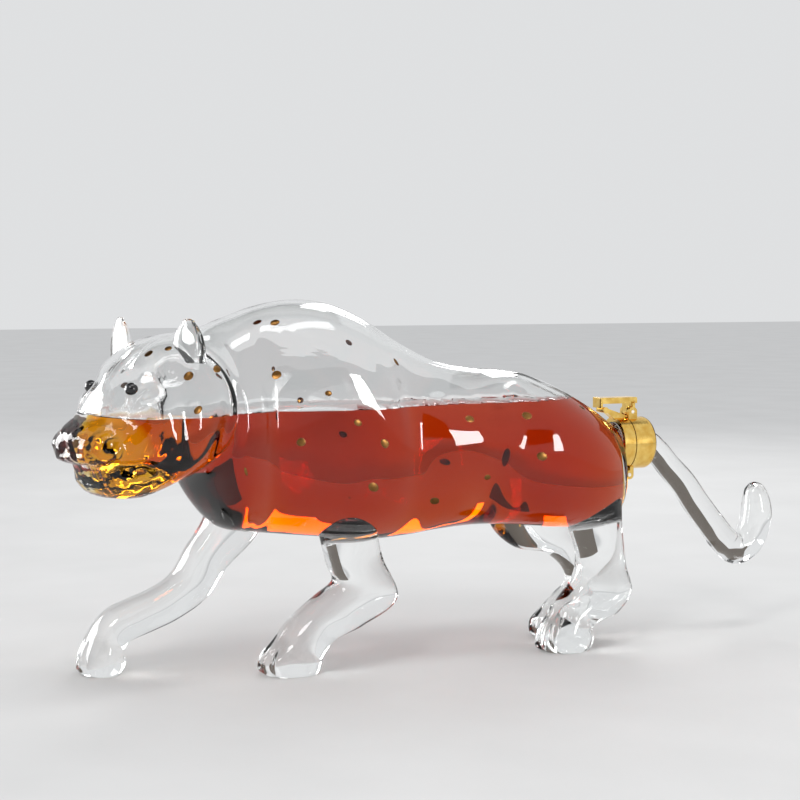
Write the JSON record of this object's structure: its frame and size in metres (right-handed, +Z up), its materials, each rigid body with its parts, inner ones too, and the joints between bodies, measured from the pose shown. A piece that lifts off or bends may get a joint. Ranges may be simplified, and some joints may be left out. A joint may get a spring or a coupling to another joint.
{
  "type": "figural liquor decanter",
  "caption": "Clear glass liquor decanter blown as a walking leopard, closed at the rump by a latched, hinged gilt lid that carries the solid glass tail.",
  "frame": {"origin": "floor level under the middle of the whole decanter's box", "axes": "+X towards the tail, the figure faces -X; +Y towards the figure's right side; +Z up"},
  "size_m": [0.3992, 0.1024, 0.1809],
  "materials": {
    "clear_glass": "clear polished borosilicate glass",
    "black_glass": "polished black glass bead",
    "clear_silicone": "translucent silicone",
    "gilt_brass": "polished gilt brass",
    "steel_pin": "turned steel pin"
  },
  "bodies": {
    "decanter": {"glass_body": "clear_glass", "front_left_leg": "clear_glass", "front_right_leg": "clear_glass", "hind_left_leg": "clear_glass", "hind_right_leg": "clear_glass", "left_ear": "clear_glass", "right_ear": "clear_glass", "left_eye": "black_glass", "right_eye": "black_glass", "neck_sleeve": "clear_silicone", "collar": "gilt_brass", "hinge_pin": "steel_pin"},
    "lid": {"lid_cap": "gilt_brass", "seal_disc": "clear_silicone", "tail": "clear_glass", "tail_bush": "clear_silicone", "lever_pivot": "steel_pin"},
    "latch": {"latch_lever": "gilt_brass"}
  },
  "joints": [
    {"name": "lid_hinge", "type": "hinge", "parent": "decanter", "child": "lid", "pos_m": [0.10846, 0.01313, 0.08746], "axis": [0, 1, 0], "range_deg": [0, 33]},
    {"name": "latch_lift", "type": "hinge", "parent": "lid", "child": "latch", "pos_m": [0.11101, 0.01313, 0.12056], "axis": [0, 1, 0], "range_deg": [0, 85]}
  ]
}
